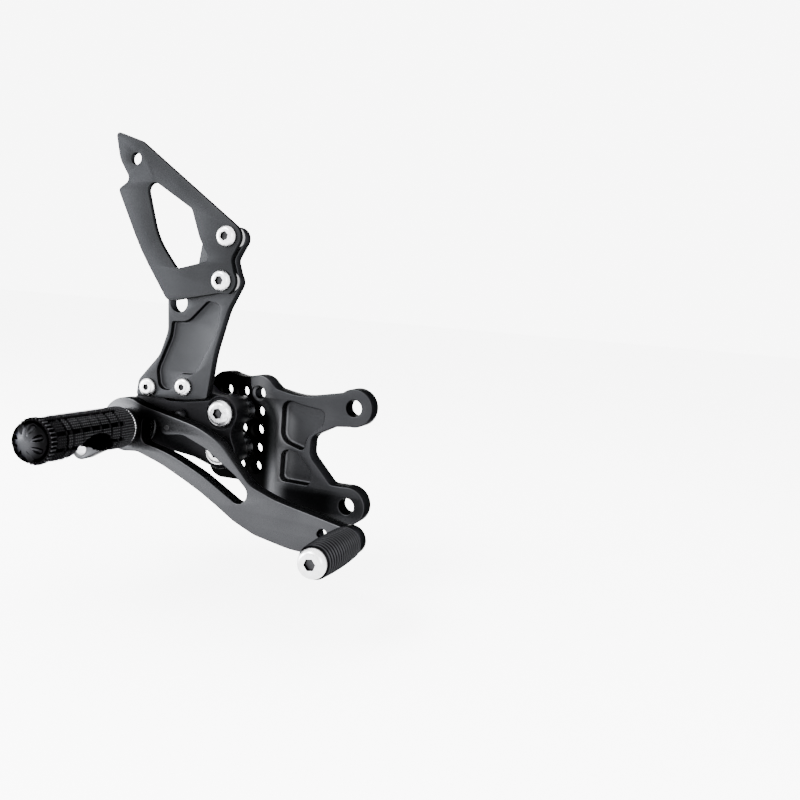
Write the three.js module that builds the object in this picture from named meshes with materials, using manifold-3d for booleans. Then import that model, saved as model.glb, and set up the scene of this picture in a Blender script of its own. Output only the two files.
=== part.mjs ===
// Brake-side rearset foot peg of a motorcycle: adjustable mount plate, peg carrier,
// heel guard and bracket, fixed foot peg and a brake lever that swings on the peg's axis.
// Millimetres. +X is the front of the motorcycle, -Y is outboard (the rider's foot), +Z is up.
// Outlines are drawn in the XZ plane from the top front hole of the plate's height grid, on
// the plate's mid-plane. The last step moves everything so that the origin lies on the inner
// face of the mount plate, half way up between the two frame bolts.
import * as THREE from 'three';
import { mergeVertices } from 'three/addons/utils/BufferGeometryUtils.js';
import Module from 'manifold-3d';

const wasm = await Module();
wasm.setup();

// ---------------------------------------------------------------- driving dimensions
const PLATE_INNER = 5;
const PLATE_OUTER = -5;
const PITCH = 10;
const GRID_HOLE_R = 3.4;
const GRID_FLOOR = -3.4;
const FRAME_UPPER = [55.4, -1.8];
const FRAME_LOWER = [55, -53.4];
const FRAME_HOLE_R = 4.3;
const POCKET_DEPTH = 6;

const CARRIER_BACK = -12;
const CARRIER_FRONT = -25;
const BOLT_SEAT = CARRIER_FRONT + 0.8;
const EAR_FRONT = -21.5;
const BOLT_X = -PITCH;
const BOLT_UPPER_Z = -PITCH;
const BOLT_LOWER_Z = -3 * PITCH;
const LOBE_R = 9.3;

const BRACKET_FRONT = -27;
const BRACKET_POCKET = 3.3;
const BRACKET_SCREWS = { rear: [-53.4, -0.7], front: [-31.7, 1.5] };

const GUARD_BACK = -32;
const GUARD_FRONT = -35;
const GUARD_SCREWS = { upper: [-5.8, 79.5], lower: [-7.4, 57.7] };

const PEG_AXIS = [-58.5, -21];
const LEVER_BACK = -30;
const LEVER_FRONT = -38;
const JOURNAL_R = 7;
const HUB_R = 14.3;
const LEVER_EYE = [-86.9, -37];
const STOP_PIN = [-33.5, -19];
const SPRING_PIN = [-38.3, -13.1];
const STOP_R = 3.6;
const SPRING_WIRE_R = 0.8;
const SPRING_COIL_R = 10.6;
const SPRING_TANG = [PEG_AXIS[0] - 10.5, PEG_AXIS[1] - 2.15];
const TOE_AXIS = [70, -62];
const TOE_SPARE = [57, -60];
const TOE_END = -74.5;

const RING_BACK = -41.2;
const RING_FRONT = -43;
const GRIP_R = 11;
const GRIP_END = -92.5;
const SLEEVE_END = -103.5;
const CAP_TIP = -109;

const ORIGIN = new THREE.Vector3(22, PLATE_INNER, (FRAME_UPPER[1] + FRAME_LOWER[1]) / 2);
const CHAMFER = 0.5;
const ROUND_SEGMENTS = 16;
const HUB_SEGMENTS = 24;

// ---------------------------------------------------------------- materials
const blackAnodised = new THREE.MeshStandardMaterial({ color: 0x26272a, metalness: 0.6, roughness: 0.45 });
const machinedBlack = new THREE.MeshStandardMaterial({ color: 0x3a3b3f, metalness: 0.6, roughness: 0.4 });
const steel = new THREE.MeshStandardMaterial({ color: 0xc8cacc, metalness: 0.9, roughness: 0.3 });
const bronze = new THREE.MeshStandardMaterial({ color: 0xa8874c, metalness: 0.9, roughness: 0.4 });
const blackOxide = new THREE.MeshStandardMaterial({ color: 0x2c2c2e, metalness: 0.8, roughness: 0.4 });
const springSteel = new THREE.MeshStandardMaterial({ color: 0x77797c, metalness: 0.9, roughness: 0.35 });

// ---------------------------------------------------------------- outline helpers
const DEG = Math.PI / 180;

// A corner at (x, z) rounded with radius r.
const corner = (x, z, r = 0) => ({ x, z, r });

// Points of an arc about [x, z] from one angle to another, in degrees.
function arc([x, z], r, from, to) {
  const count = Math.max(2, Math.ceil(Math.abs(to - from) / 18));
  return Array.from({ length: count + 1 }, (_, i) => {
    const a = (from + ((to - from) * i) / count) * DEG;
    return corner(x + r * Math.cos(a), z + r * Math.sin(a));
  });
}

// Closed outline through corners and arcs; every corner with a radius becomes an arc.
function outline(...items) {
  const corners = items.flat();
  const points = [];
  corners.forEach((here, i) => {
    const previous = corners.at(i - 1);
    const next = corners[(i + 1) % corners.length];
    if (!here.r) {
      points.push(new THREE.Vector2(here.x, here.z));
      return;
    }
    const centre = new THREE.Vector2(here.x, here.z);
    const a = new THREE.Vector2(previous.x, previous.z).sub(centre);
    const b = new THREE.Vector2(next.x, next.z).sub(centre);
    const reach = 0.49 * Math.min(a.length(), b.length());
    a.normalize();
    b.normalize();
    const half = Math.acos(THREE.MathUtils.clamp(a.dot(b), -1, 1)) / 2;
    const setback = Math.min(here.r / Math.tan(half), reach);
    const radius = setback * Math.tan(half);
    const middle = a.clone().add(b).normalize().multiplyScalar(radius / Math.sin(half)).add(centre);
    const start = a.multiplyScalar(setback).add(centre);
    const end = b.multiplyScalar(setback).add(centre);
    const from = Math.atan2(start.y - middle.y, start.x - middle.x);
    let sweep = Math.atan2(end.y - middle.y, end.x - middle.x) - from;
    sweep = Math.atan2(Math.sin(sweep), Math.cos(sweep));
    const count = Math.max(2, Math.ceil(Math.abs(sweep) / (30 * DEG)));
    for (let k = 0; k <= count; k += 1) {
      const t = from + (sweep * k) / count;
      points.push(new THREE.Vector2(middle.x + radius * Math.cos(t), middle.y + radius * Math.sin(t)));
    }
  });
  return points;
}

function circlePoints([x, z], r, count = ROUND_SEGMENTS) {
  return Array.from({ length: count }, (_, i) => {
    const a = (i / count) * 2 * Math.PI;
    return new THREE.Vector2(x + r * Math.cos(a), z + r * Math.sin(a));
  });
}

// ---------------------------------------------------------------- solid helpers
function solid(geometry) {
  const bare = geometry.clone();
  bare.deleteAttribute('normal');
  bare.deleteAttribute('uv');
  const merged = mergeVertices(bare, 1e-4);
  return new wasm.Manifold(new wasm.Mesh({
    numProp: 3,
    vertProperties: Float32Array.from(merged.attributes.position.array),
    triVerts: Uint32Array.from(merged.index.array),
  }));
}

function geometryOf(body) {
  const mesh = body.getMesh();
  const geometry = new THREE.BufferGeometry();
  geometry.setAttribute('position', new THREE.BufferAttribute(mesh.vertProperties, 3));
  geometry.setIndex(new THREE.BufferAttribute(mesh.triVerts, 1));
  const flat = geometry.toNonIndexed();
  flat.computeVertexNormals();
  return flat;
}

const subtractAll = (body, cutters) => cutters.reduce((left, cutter) => left.subtract(cutter), body);

function counterClockwise(points) {
  return THREE.ShapeUtils.isClockWise(points) ? [...points].reverse() : points;
}

// Plate with the given outline and holes between two Y planes, chamfered on both faces.
function plate(points, inner, outer, holes = [], chamfer = CHAMFER) {
  const shape = new THREE.Shape(counterClockwise(points));
  shape.holes = holes.map((hole) => new THREE.Path(counterClockwise(hole)));
  const geometry = new THREE.ExtrudeGeometry(shape, {
    depth: inner - outer - 2 * chamfer,
    bevelEnabled: chamfer > 0,
    bevelThickness: chamfer,
    bevelSize: chamfer,
    bevelOffset: -chamfer,
    bevelSegments: 1,
  });
  geometry.rotateX(Math.PI / 2);
  geometry.translate(0, inner - chamfer, 0);
  return solid(geometry);
}

// Cutter for a blind pocket in an outboard face, with a broken rim.
function pocket(points, face, depth) {
  const body = plate(points, face + depth, face - 2, [], 0.8);
  const shape = new THREE.Shape(counterClockwise(points));
  const rim = new THREE.ExtrudeGeometry(shape, {
    depth: 1, bevelThickness: CHAMFER, bevelSize: CHAMFER, bevelOffset: 0, bevelSegments: 1,
  });
  rim.rotateX(Math.PI / 2);
  rim.translate(0, face, 0);
  return body.add(solid(rim));
}

// Body turned about an axis along Y; the profile is [radius, y] pairs, closed on the axis or on itself.
function turned([x, z], profile, segments = ROUND_SEGMENTS) {
  const points = profile.map(([r, y]) => new THREE.Vector2(r, y));
  if (THREE.ShapeUtils.area(points) < 0) {
    points.reverse();
  }
  const geometry = new THREE.LatheGeometry(points, segments);
  geometry.translate(x, 0, z);
  return solid(geometry);
}

// Tube between two Y planes, chamfered outside.
function tube(axis, outerR, innerR, inner, outer, chamfer = 0.3, segments = ROUND_SEGMENTS) {
  return turned(axis, [
    [innerR, outer],
    [outerR - chamfer, outer],
    [outerR, outer + chamfer],
    [outerR, inner - chamfer],
    [outerR - chamfer, inner],
    [innerR, inner],
    [innerR, outer],
  ], segments);
}

function rod([x, z], r, inner, outer, segments = ROUND_SEGMENTS) {
  const geometry = new THREE.CylinderGeometry(r, r, inner - outer, segments);
  geometry.translate(x, (inner + outer) / 2, z);
  return solid(geometry);
}

// Hexagonal prism, size across flats.
function hexPrism(axis, acrossFlats, inner, outer) {
  return rod(axis, acrossFlats / Math.sqrt(3), inner, outer, 6);
}

// Button-head screw: underside of the head at seat, shank running inboard to tip.
function buttonScrew(axis, { headR, headH, hex, shankR }, seat, tip) {
  const top = seat - headH;
  const body = turned(axis, [
    [0, top],
    [headR * 0.5, top],
    [headR * 0.8, top + headH * 0.28],
    [headR, seat - headH * 0.2],
    [headR, seat],
    [shankR, seat],
    [shankR, tip - 0.6],
    [shankR - 0.6, tip],
    [0, tip],
  ]);
  return body.subtract(hexPrism(axis, hex, top + headH * 0.6, top - 1));
}

const M8 = { headR: 7, headH: 4.4, hex: 5, shankR: 4 };
const M6 = { headR: 5.25, headH: 3.3, hex: 4, shankR: 3 };
const M5 = { headR: 4.75, headH: 2.6, hex: 3, shankR: 2.5 };

// ---------------------------------------------------------------- assembly
const part = new THREE.Group();
part.name = 'brake_side_foot_peg';

function addPiece(name, body, material) {
  const geometry = geometryOf(body);
  geometry.translate(-ORIGIN.x, -ORIGIN.y, -ORIGIN.z);
  const mesh = new THREE.Mesh(geometry, material);
  mesh.name = name;
  part.add(mesh);
}

// ---------------------------------------------------------------- mount plate
const mountPlateOutline = outline(
  arc([-2 * PITCH, 0], 10, 180, 65),
  corner(-10.5, 8, 6),
  arc([0, 0], 9.8, 115, 38),
  corner(10.6, 3.6, 5),
  corner(25, 0.8, 60),
  arc(FRAME_UPPER, 10, 134, -97),
  corner(45.5, -12.6, 9),
  corner(32.2, -19.6, 6),
  corner(32.2, -29.6, 6),
  corner(45, -43.4, 4),
  arc(FRAME_LOWER, 10.2, 100, -112),
  corner(25, -58.3, 60),
  corner(-3, -48.6, 15),
  arc([-2 * PITCH, -4 * PITCH], 8.7, -90, -180),
  corner(-28, -20, 30),
);
const upperPocket = outline(
  corner(14.7, -0.8, 4.5),
  corner(26, -3.4, 10),
  corner(40, -5, 3.5),
  corner(38.6, -13.4, 4),
  corner(30.2, -20, 8),
  corner(28.4, -27.6, 2),
  corner(14.8, -23.6, 7),
);
const lowerPocket = outline(
  corner(15.7, -27.6, 5),
  corner(25, -28.4, 6),
  corner(34.4, -38.5, 8),
  corner(33.6, -45.6, 3),
  corner(15.6, -45.2, 3),
);
const gridHoles = [];
for (let column = 0; column < 3; column += 1) {
  for (let row = 0; row < 5; row += 1) {
    gridHoles.push(circlePoints([-column * PITCH, -row * PITCH], GRID_HOLE_R, 12));
  }
}
const frameHoles = [FRAME_UPPER, FRAME_LOWER].map((centre) => circlePoints(centre, FRAME_HOLE_R));

// The hole grid lies in a shallow recess that runs out in a wide ramp towards the arms.
function gridRecess(rampStart, rampEnd, bottom, top) {
  const section = new THREE.Shape([
    new THREE.Vector2(-40, PLATE_OUTER - 2),
    new THREE.Vector2(rampEnd + 3, PLATE_OUTER - 2),
    new THREE.Vector2(rampEnd, PLATE_OUTER),
    new THREE.Vector2(rampStart + 0.55 * (rampEnd - rampStart), GRID_FLOOR - 0.5),
    new THREE.Vector2(rampStart, GRID_FLOOR),
    new THREE.Vector2(-40, GRID_FLOOR),
  ]);
  const geometry = new THREE.ExtrudeGeometry(section, { depth: top - bottom, bevelEnabled: false });
  geometry.translate(0, 0, bottom);
  return solid(geometry);
}
const mountPlate = subtractAll(
  plate(mountPlateOutline, PLATE_INNER, PLATE_OUTER, [...gridHoles, ...frameHoles], 0.6),
  [
    ...[upperPocket, lowerPocket].map((points) => pocket(points, PLATE_OUTER, POCKET_DEPTH)),
    gridRecess(4.5, 13, -70, -2.5),
    gridRecess(-7, -5.5, -3, 20),
  ],
);
addPiece('mount_plate', mountPlate, blackAnodised);

// ---------------------------------------------------------------- peg carrier and its bolts
const carrierOutline = outline(
  arc([BOLT_X, BOLT_UPPER_Z], LOBE_R, 105, -36),
  corner(-4, -20, 5),
  arc([BOLT_X, BOLT_LOWER_Z], LOBE_R, 36, -120),
  corner(-25, -34.8, 30),
  corner(-44, -32.6, 30),
  arc(PEG_AXIS, 13.4, -60, -262),
  arc(BRACKET_SCREWS.rear, 6.3, 195, 60),
  corner(-42.5, -1.5, 6),
  arc(BRACKET_SCREWS.front, 6.3, 130, 50),
  corner(-18, -0.8, 5),
);
const earRecess = plate(outline(
  corner(-80, -6.8),
  corner(-45, -7),
  corner(-31, -6.1),
  corner(-16.4, -3.6),
  corner(-16.4, 20),
  corner(-80, 20),
), EAR_FRONT, CARRIER_FRONT - 2, [], 0);
const carrierCuts = [earRecess, rod(PEG_AXIS, 6.1, 0, -30, HUB_SEGMENTS)];
for (const z of [BOLT_UPPER_Z, BOLT_LOWER_Z]) {
  carrierCuts.push(turned([BOLT_X, z], [
    [0, CARRIER_BACK + 1],
    [4.3, CARRIER_BACK + 1],
    [4.3, BOLT_SEAT],
    [8, BOLT_SEAT],
    [8, CARRIER_FRONT + 0.2],
    [8.6, CARRIER_FRONT - 0.4],
    [0, CARRIER_FRONT - 0.4],
  ]));
}
for (const screw of Object.values(BRACKET_SCREWS)) {
  carrierCuts.push(rod(screw, 2.6, 0, -30));
}
const stopCentre = [STOP_PIN[0] + 0.5, STOP_PIN[1] + 1.5 + STOP_R + 0.05];
carrierCuts.push(rod(stopCentre, 2.1, -16, -30));
carrierCuts.push(rod(SPRING_TANG, 1.2, -20, -30, 12));
addPiece('peg_carrier', subtractAll(plate(carrierOutline, CARRIER_BACK, CARRIER_FRONT), carrierCuts), blackAnodised);

for (const [place, z] of [['upper', BOLT_UPPER_Z], ['lower', BOLT_LOWER_Z]]) {
  const axis = [BOLT_X, z];
  addPiece(`spacer_${place}`, tube(axis, 8, 4.3, GRID_FLOOR, CARRIER_BACK), blackAnodised);
  const threaded = rod(axis, 3.2, PLATE_INNER - 1, GRID_FLOOR - 2);
  addPiece(`carrier_bolt_${place}`, buttonScrew(axis, M8, BOLT_SEAT, GRID_FLOOR - 0.2).add(threaded), steel);
}

// ---------------------------------------------------------------- heel bracket
const bracketOutline = outline(
  corner(-61, -6, 1.5),
  corner(-60, 2.6, 6),
  corner(-47.5, 17, 14),
  corner(-43, 30, 14),
  arc([-37.1, 44.9], 6.8, 175, 80),
  corner(-29, 52, 8),
  corner(-26.6, 66, 20),
  corner(-24.4, 80, 6),
  arc(GUARD_SCREWS.upper, 5.7, 120, -35),
  corner(-5.4, 68.6, 4),
  arc(GUARD_SCREWS.lower, 5.7, 38, -25),
  corner(-8.6, 43, 30),
  corner(-15, 20, 60),
  corner(-18, -3.2, 1.5),
  corner(-31, -5.4, 30),
);
const bracketPocket = outline(
  corner(-40.8, 35, 1.5),
  corner(-31.5, 35.6, 8),
  corner(-20, 47.2, 3),
  corner(-12.3, 45.5, 2.8),
  corner(-14.2, 31, 20),
  corner(-24.6, 11, 10),
  corner(-28, 8.6, 4),
  corner(-35.6, 8.2, 4),
  corner(-39.4, -1, 4),
  corner(-47.2, -1.2, 4.5),
  corner(-49.2, 9, 10),
  corner(-41.6, 27, 20),
);
const bracketHoles = [
  circlePoints([-37.1, 44.9], 4.9),
  ...Object.values(BRACKET_SCREWS).map((centre) => circlePoints(centre, 2.75)),
  ...Object.values(GUARD_SCREWS).map((centre) => circlePoints(centre, 3.1)),
];
const heelBracket = plate(bracketOutline, EAR_FRONT, BRACKET_FRONT, bracketHoles, 0.4)
  .subtract(pocket(bracketPocket, BRACKET_FRONT, BRACKET_POCKET));
addPiece('heel_bracket', heelBracket, blackAnodised);
for (const [place, centre] of Object.entries(BRACKET_SCREWS)) {
  addPiece(`bracket_screw_${place}`, buttonScrew(centre, M5, BRACKET_FRONT, CARRIER_BACK), steel);
}

// ---------------------------------------------------------------- heel guard
const guardOutline = outline(
  corner(-74.2, 129.8, 1.8),
  corner(-58.5, 125, 8),
  arc(GUARD_SCREWS.upper, 7.2, 55, -30),
  corner(-3.4, 68.8, 5),
  arc(GUARD_SCREWS.lower, 7.3, 35, -60),
  corner(-9.6, 51.3, 10),
  corner(-38.6, 45.2, 5),
  corner(-56.2, 70.3, 120),
  corner(-71.4, 100.6, 2.2),
  corner(-64.2, 105.4, 3.2),
  corner(-71, 115.6, 14),
);
const guardWindow = outline(
  corner(-55.9, 108.8, 4),
  corner(-26.9, 92.1, 3.4),
  corner(-21.6, 77.8, 20),
  corner(-14.8, 67.3, 2.6),
  corner(-34.4, 62, 2.6),
  corner(-46.6, 76.8, 40),
);
const guardHoles = [
  guardWindow,
  circlePoints([-61.1, 116], 3, 16),
  ...Object.values(GUARD_SCREWS).map((centre) => circlePoints(centre, 3.2)),
];
addPiece('heel_guard', plate(guardOutline, GUARD_BACK, GUARD_FRONT, guardHoles, 0.3), blackAnodised);
for (const [place, centre] of Object.entries(GUARD_SCREWS)) {
  addPiece(`guard_spacer_${place}`, tube(centre, 5.5, 3.2, BRACKET_FRONT, GUARD_BACK), steel);
  addPiece(`guard_screw_${place}`, buttonScrew(centre, { ...M6, shankR: 2.95 }, GUARD_FRONT, EAR_FRONT), steel);
}

// ---------------------------------------------------------------- fixed peg: spindle and its bolt
const spindle = turned(PEG_AXIS, [
  [0, CARRIER_BACK],
  [6, CARRIER_BACK],
  [6, CARRIER_FRONT],
  [JOURNAL_R, CARRIER_FRONT],
  [JOURNAL_R, RING_FRONT],
  [6, RING_FRONT],
  [6, -59],
  [0, -59],
], HUB_SEGMENTS).subtract(rod(PEG_AXIS, 4.1, 0, -38));
addPiece('peg_spindle', spindle, steel);
addPiece('spindle_washer', tube(PEG_AXIS, 10, 4.25, CARRIER_BACK + 2, CARRIER_BACK, 0.3), steel);
const spindleBolt = turned(PEG_AXIS, [
  [0, CARRIER_BACK + 10],
  [6, CARRIER_BACK + 10],
  [6.5, CARRIER_BACK + 9.5],
  [6.5, CARRIER_BACK + 2],
  [4, CARRIER_BACK + 2],
  [4, -35.4],
  [3.4, -36],
  [0, -36],
]).subtract(hexPrism(PEG_AXIS, 6, CARRIER_BACK + 11, CARRIER_BACK + 5.5));
addPiece('spindle_bolt', spindleBolt, steel);
addPiece('spring_sleeve', tube(PEG_AXIS, 9, 7.1, CARRIER_FRONT, LEVER_BACK + 0.1, 0.3, HUB_SEGMENTS), steel);
addPiece('hub_collar', tube(PEG_AXIS, 9.4, 7.1, LEVER_FRONT - 0.2, RING_BACK, 0.2, HUB_SEGMENTS), blackAnodised);
addPiece('hub_ring', tube(PEG_AXIS, 10, 7.1, RING_BACK, RING_FRONT, 0.4, HUB_SEGMENTS), steel);

// ---------------------------------------------------------------- grip, end sleeve and end cap
const gripProfile = [[6.1, -59], [6.1, RING_FRONT], [9.4, RING_FRONT]];
const FINE_RIBS = 2;
const FINE_PITCH = 3.9;
const RIBS = 9;
const RIB_PITCH = 4.3;
const STEM_R = 4.9;
const STEM_TOP = -82;
for (let i = 0; i < FINE_RIBS; i += 1) {
  const y = RING_FRONT - 0.6 - i * FINE_PITCH;
  gripProfile.push([10.2, y], [10.9, y - 1], [10.9, y - 3.4]);
}
const ribStart = RING_FRONT - 0.6 - FINE_RIBS * FINE_PITCH;
for (let i = 0; i < RIBS; i += 1) {
  const y = ribStart - i * RIB_PITCH;
  gripProfile.push([10, y], [GRIP_R, y - 1.4], [GRIP_R, y - 3.2]);
}
gripProfile.push([9.8, GRIP_END + 0.8], [9.2, GRIP_END], [STEM_R + 0.2, GRIP_END], [STEM_R + 0.2, STEM_TOP]);
gripProfile.push([0, STEM_TOP + 1.5], [0, -61], [6.1, -59]);
const channelCuts = [];
for (let i = 0; i < 8; i += 1) {
  const angle = i * 45 * DEG;
  const cutter = new THREE.CylinderGeometry(3.2, 3.2, 60, 8);
  cutter.rotateY(Math.PI / 8);
  cutter.translate(
    PEG_AXIS[0] + 12.6 * Math.cos(angle),
    ribStart - 2 - 30,
    PEG_AXIS[1] + 12.6 * Math.sin(angle),
  );
  channelCuts.push(solid(cutter));
}
const setScrewY = -50;
const setScrewAngle = -40 * DEG;
function radialRod(r, from, to, y, angle) {
  const geometry = new THREE.CylinderGeometry(r, r, to - from, 12);
  geometry.rotateZ(-Math.PI / 2);
  geometry.translate((from + to) / 2, 0, 0);
  geometry.rotateY(-angle);
  geometry.translate(PEG_AXIS[0], y, PEG_AXIS[1]);
  return solid(geometry);
}
// Long scallop that hollows the underside of the grip, a little towards the front.
const SCALLOP_R = 17.9;
const SCALLOP_DEPTH = 7.9;
const SCALLOP_TILT = 25 * DEG;
const scallop = new THREE.CylinderGeometry(SCALLOP_R, SCALLOP_R, 40, 40);
scallop.rotateZ(Math.PI / 2);
scallop.translate(0, 0, SCALLOP_DEPTH - GRIP_R - SCALLOP_R);
scallop.rotateY(-SCALLOP_TILT);
scallop.translate(PEG_AXIS[0], -71.5, PEG_AXIS[1]);
const grip = subtractAll(turned(PEG_AXIS, gripProfile, 24), [
  ...channelCuts,
  solid(scallop),
  radialRod(2.2, 5, 14, setScrewY, setScrewAngle),
]);
addPiece('peg_grip', grip, blackAnodised);
const setScrew = radialRod(1.95, 6.2, 10.1, setScrewY, setScrewAngle);
addPiece('grip_set_screw', setScrew, steel);

const sleeveProfile = [
  [STEM_R + 0.2, GRIP_END - 0.2],
  [9.6, GRIP_END - 0.2],
  [10.2, GRIP_END - 0.8],
  [10.2, GRIP_END - 5],
  [9.8, GRIP_END - 5.6],
  [9.8, GRIP_END - 6.6],
  [11, GRIP_END - 7.4],
  [11, SLEEVE_END + 0.7],
  [10.4, SLEEVE_END],
  [STEM_R + 0.2, SLEEVE_END],
  [STEM_R + 0.2, GRIP_END - 0.2],
];
const sleeveChannels = [0, 45, 90, 135, 180, 225, 270, 315].map((degrees) => {
  const cutter = new THREE.CylinderGeometry(2.8, 2.8, 8, 8);
  cutter.translate(
    PEG_AXIS[0] + 12.2 * Math.cos(degrees * DEG),
    GRIP_END - 3,
    PEG_AXIS[1] + 12.2 * Math.sin(degrees * DEG),
  );
  return solid(cutter);
});
addPiece('grip_end_sleeve', subtractAll(turned(PEG_AXIS, sleeveProfile, 24), sleeveChannels), blackAnodised);

const capR = 9.6;
const capDome = CAP_TIP + 4.4;
const capProfile = [[0, STEM_TOP - 1], [STEM_R, STEM_TOP - 1.6], [STEM_R, SLEEVE_END - 0.1]];
capProfile.push([capR, SLEEVE_END - 0.1], [capR, capDome]);
for (let i = 1; i <= 6; i += 1) {
  const t = (i / 6) * 90 * DEG;
  capProfile.push([i === 6 ? 0 : 3 + (capR - 3) * Math.cos(t), capDome + (CAP_TIP - capDome) * Math.sin(t)]);
}
const scoops = [];
for (let i = 0; i < 8; i += 1) {
  const scoop = new THREE.SphereGeometry(1, 8, 4);
  scoop.scale(3.4, 2.2, 1.5);
  scoop.translate(capR - 1.4, 0, 0);
  scoop.rotateY((i + 0.5) * 45 * DEG);
  scoop.translate(PEG_AXIS[0], CAP_TIP + 2, PEG_AXIS[1]);
  scoops.push(solid(scoop));
}
addPiece('grip_end_cap', subtractAll(turned(PEG_AXIS, capProfile, 20), scoops), machinedBlack);

// ---------------------------------------------------------------- brake lever
const leverOutline = outline(
  arc([-59, -20.4], HUB_R, 175, 60),
  corner(-46, -9.7, 10),
  corner(-15, -16.4, 60),
  corner(-3, -22.6, 30),
  corner(16, -42.2, 14),
  corner(30.4, -47.4, 60),
  arc(TOE_AXIS, 7.4, 108, -108),
  corner(44, -71.4, 60),
  corner(20, -66.6, 20),
  corner(8, -61.4, 20),
  corner(-12, -49, 200),
  corner(-36, -38.3, 60),
  corner(-51, -33.6, 10),
  arc([-59, -20.4], 13.9, -80, -115),
  corner(-72, -35.4, 6),
  arc(LEVER_EYE, 5.8, -60, -245),
);
const leverSlot = outline(
  corner(-48.6, -15.4, 3),
  corner(-39.4, -16.2, 2.5),
  arc(STOP_PIN, 3.7, 175, 285),
  corner(-24, -21.4, 10),
  corner(-10.2, -26.7, 30),
  corner(8, -38.4, 20),
  arc([9.6, -47], 5.2, 38, -110),
  corner(0, -47.4, 30),
  corner(-12, -40.5, 60),
  corner(-32, -31.9, 80),
  corner(-48.6, -28.6, 4),
);
const leverHoles = [
  leverSlot,
  circlePoints(PEG_AXIS, 8.1, HUB_SEGMENTS),
  circlePoints(LEVER_EYE, 4.05),
  circlePoints(STOP_PIN, 1.6, 16),
  circlePoints(TOE_AXIS, 4.1),
  circlePoints(TOE_SPARE, 2.5, 16),
];
const lever = subtractAll(plate(leverOutline, LEVER_BACK, LEVER_FRONT, leverHoles, 0.5), [
  rod(PEG_AXIS, 9.1, LEVER_BACK + 1, LEVER_BACK - 1, HUB_SEGMENTS),
  rod(PEG_AXIS, 9.1, LEVER_FRONT + 1, LEVER_FRONT - 1, HUB_SEGMENTS),
  rod(SPRING_PIN, 1.3, 0, -50, 16),
]);
addPiece('brake_lever', lever, machinedBlack);

// Flanged bush pressed in from one face of the lever; inward is the Y direction into the lever.
function pivotBush(face, inward) {
  const flange = face + inward * 0.95;
  const inside = face + inward * 3.8;
  return turned(PEG_AXIS, [
    [7.1, face],
    [8.9, face],
    [8.9, flange],
    [8, flange],
    [8, inside],
    [7.1, inside],
    [7.1, face],
  ], HUB_SEGMENTS);
}
addPiece('pivot_bush_outer', pivotBush(LEVER_FRONT, 1), bronze);
addPiece('pivot_bush_inner', pivotBush(LEVER_BACK, -1), bronze);
addPiece('pushrod_bush', tube(LEVER_EYE, 4, 3.2, LEVER_BACK - 0.1, LEVER_FRONT + 0.3, 0.2), steel);

// ---------------------------------------------------------------- toe peg
const toeProfile = [[4.1, LEVER_FRONT - 3], [4.1, LEVER_FRONT], [7.6, LEVER_FRONT], [7.6, LEVER_FRONT - 2]];
const TOE_RIBS = 8;
const TOE_PITCH = 4.2;
for (let i = 0; i < TOE_RIBS; i += 1) {
  const y = LEVER_FRONT - 2.6 - i * TOE_PITCH;
  const crest = 8 + 0.6 * Math.sin((Math.PI * (i + 0.5)) / TOE_RIBS);
  toeProfile.push([7.4, y], [crest, y - 1.1], [crest, y - 3]);
}
toeProfile.push([7.4, TOE_END], [4.1, TOE_END], [4.1, LEVER_FRONT - 3]);
addPiece('toe_peg_sleeve', turned(TOE_AXIS, toeProfile), blackAnodised);
addPiece('toe_peg_screw', buttonScrew(TOE_AXIS, { ...M8, headH: 4 }, TOE_END, LEVER_BACK), steel);

// ---------------------------------------------------------------- lever stop and return spring
addPiece('lever_stop_pin', rod(STOP_PIN, 1.5, CARRIER_FRONT - 0.4, LEVER_FRONT - 0.2, 16), blackOxide);
addPiece('spring_pin', rod(SPRING_PIN, 1.2, CARRIER_FRONT - 0.4, LEVER_FRONT + 0.6, 16), blackOxide);
addPiece('stop_eccentric', turned(stopCentre, [
  [2.1, CARRIER_FRONT],
  [STOP_R, CARRIER_FRONT],
  [STOP_R, CARRIER_FRONT - 2],
  [2.1, CARRIER_FRONT - 2],
  [2.1, CARRIER_FRONT],
]), blackOxide);
const stopScrew = buttonScrew(stopCentre, { headR: 3.1, headH: 2.1, hex: 2, shankR: 2 }, CARRIER_FRONT - 2, -17);
addPiece('stop_screw', stopScrew, blackOxide);

// Round wire swept along a list of points, closed at both ends.
function wire(path, r, sides = 6) {
  const positions = [];
  const index = [];
  let up = new THREE.Vector3(0, 1, 0);
  path.forEach((point, i) => {
    const ahead = path[Math.min(i + 1, path.length - 1)].clone().sub(path[Math.max(i - 1, 0)]).normalize();
    const side = new THREE.Vector3().crossVectors(up, ahead).normalize();
    up = new THREE.Vector3().crossVectors(ahead, side).normalize();
    for (let k = 0; k < sides; k += 1) {
      const a = (k / sides) * 2 * Math.PI;
      const v = point.clone().addScaledVector(side, r * Math.cos(a)).addScaledVector(up, r * Math.sin(a));
      positions.push(v.x, v.y, v.z);
    }
  });
  for (let i = 0; i < path.length - 1; i += 1) {
    for (let k = 0; k < sides; k += 1) {
      const a = i * sides + k;
      const b = i * sides + ((k + 1) % sides);
      index.push(a, b, a + sides, b, b + sides, a + sides);
    }
  }
  for (const [row, centre, order] of [[0, path[0], 1], [path.length - 1, path.at(-1), -1]]) {
    const hub = positions.length / 3;
    positions.push(centre.x, centre.y, centre.z);
    for (let k = 0; k < sides; k += 1) {
      const a = row * sides + k;
      const b = row * sides + ((k + 1) % sides);
      index.push(hub, ...(order > 0 ? [b, a] : [a, b]));
    }
  }
  const geometry = new THREE.BufferGeometry();
  geometry.setAttribute('position', new THREE.Float32BufferAttribute(positions, 3));
  geometry.setIndex(index);
  return solid(geometry);
}

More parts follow.
